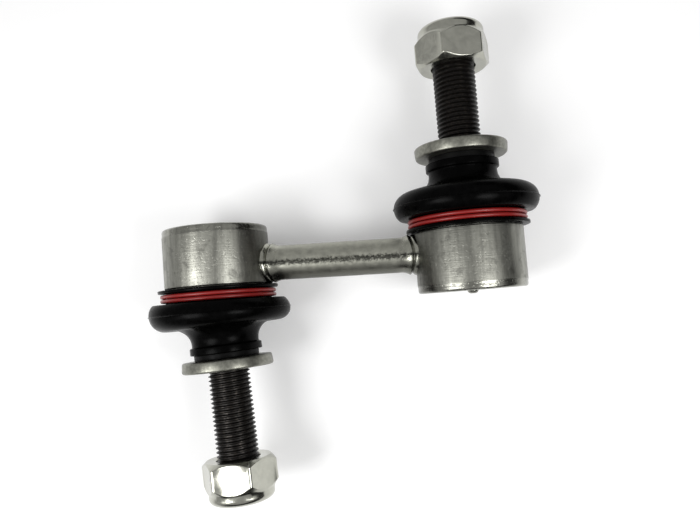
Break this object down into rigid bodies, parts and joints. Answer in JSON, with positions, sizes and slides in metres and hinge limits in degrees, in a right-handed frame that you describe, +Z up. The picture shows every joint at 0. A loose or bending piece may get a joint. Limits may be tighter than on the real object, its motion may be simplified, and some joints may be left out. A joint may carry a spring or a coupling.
{
  "type": "stabilizer link",
  "caption": "Short round-bar stabilizer link whose opposed ball-joint studs, with dust boots, stop washers and lock nuts, stand square to the bar.",
  "frame": {"origin": "midpoint of the rod axis, halfway between the two ball centres; the link lies on its side as in the picture", "axes": "+X along the rod from the left ball to the right ball, +Y along the right stud toward its nut, +Z up; the left stud points along -Y, leaning 3.5 degrees as pictured"},
  "size_m": [0.1125, 0.1291, 0.0403],
  "materials": {
    "zinc_steel": "zinc-plated forged and turned steel, dull grey-green",
    "bright_zinc": "bright zinc plate",
    "phosphated_steel": "black phosphated and oiled steel",
    "rubber": "moulded black rubber, satin",
    "red_wire": "red coated spring wire",
    "black_plastic": "moulded black plastic",
    "acetal": "natural acetal",
    "nylon": "natural nylon"
  },
  "bodies": {
    "link": {"link_rod": "zinc_steel", "right_housing": "zinc_steel", "right_closing_cap": "zinc_steel", "right_ball_seat": "acetal", "right_boot_clamp_ring": "red_wire", "left_housing": "zinc_steel", "left_closing_cap": "zinc_steel", "left_ball_seat": "acetal", "left_boot_clamp_ring": "red_wire"},
    "right_boot": {"right_dust_boot": "rubber"},
    "right_neck": {"right_neck_sleeve": "black_plastic"},
    "right_stud": {"right_ball_stud": "phosphated_steel", "right_stop_washer": "bright_zinc"},
    "right_nut_travel": {"right_nylon_ring": "nylon"},
    "right_nut": {"right_lock_nut": "bright_zinc"},
    "left_boot": {"left_dust_boot": "rubber"},
    "left_neck": {"left_neck_sleeve": "black_plastic"},
    "left_stud": {"left_ball_stud": "phosphated_steel", "left_stop_washer": "bright_zinc"},
    "left_nut_travel": {"left_nylon_ring": "nylon"},
    "left_nut": {"left_lock_nut": "bright_zinc"}
  },
  "joints": [
    {"name": "right_swivel", "type": "hinge", "parent": "link", "child": "right_boot", "pos_m": [0.03625, 0, 0], "axis": [0, 1, 0], "continuous": true},
    {"name": "right_tilt", "type": "hinge", "parent": "right_boot", "child": "right_neck", "pos_m": [0.03625, 0, 0], "axis": [0, 0, 1], "range_deg": [-22, 22], "deforming": ["right_dust_boot"]},
    {"name": "right_spin", "type": "hinge", "parent": "right_neck", "child": "right_stud", "pos_m": [0.03625, 0, 0], "axis": [0, 1, 0], "continuous": true},
    {"name": "right_nut_travel", "type": "slide", "parent": "right_stud", "child": "right_nut_travel", "axis": [0, 1, 0], "range_m": [-0.02201, 0.00921]},
    {"name": "right_nut_turn", "type": "hinge", "parent": "right_nut_travel", "child": "right_nut", "pos_m": [0.03625, 0, 0], "axis": [0, 1, 0], "range_deg": [-6336, 2649.6]},
    {"name": "left_swivel", "type": "hinge", "parent": "link", "child": "left_boot", "pos_m": [-0.03625, 0, 0], "axis": [0, -1, 0], "continuous": true},
    {"name": "left_tilt", "type": "hinge", "parent": "left_boot", "child": "left_neck", "pos_m": [-0.03625, 0, 0], "axis": [-0.454, 0, 0.891], "range_deg": [-25.5, 18.5], "deforming": ["left_dust_boot"]},
    {"name": "left_spin", "type": "hinge", "parent": "left_neck", "child": "left_stud", "pos_m": [-0.03625, 0, 0], "axis": [0.0544, -0.9981, 0.0277], "continuous": true},
    {"name": "left_nut_travel", "type": "slide", "parent": "left_stud", "child": "left_nut_travel", "axis": [0.0544, -0.9981, 0.0277], "range_m": [-0.02461, 0.00661]},
    {"name": "left_nut_turn", "type": "hinge", "parent": "left_nut_travel", "child": "left_nut", "pos_m": [-0.03625, 0, 0], "axis": [0.0544, -0.9981, 0.0277], "range_deg": [-7084.8, 1900.8]}
  ],
  "couplings": [
    {"joint": "right_nut_travel", "follows": "right_nut_turn", "m_per_rad": 0.00019894},
    {"joint": "left_nut_travel", "follows": "left_nut_turn", "m_per_rad": 0.00019894}
  ]
}
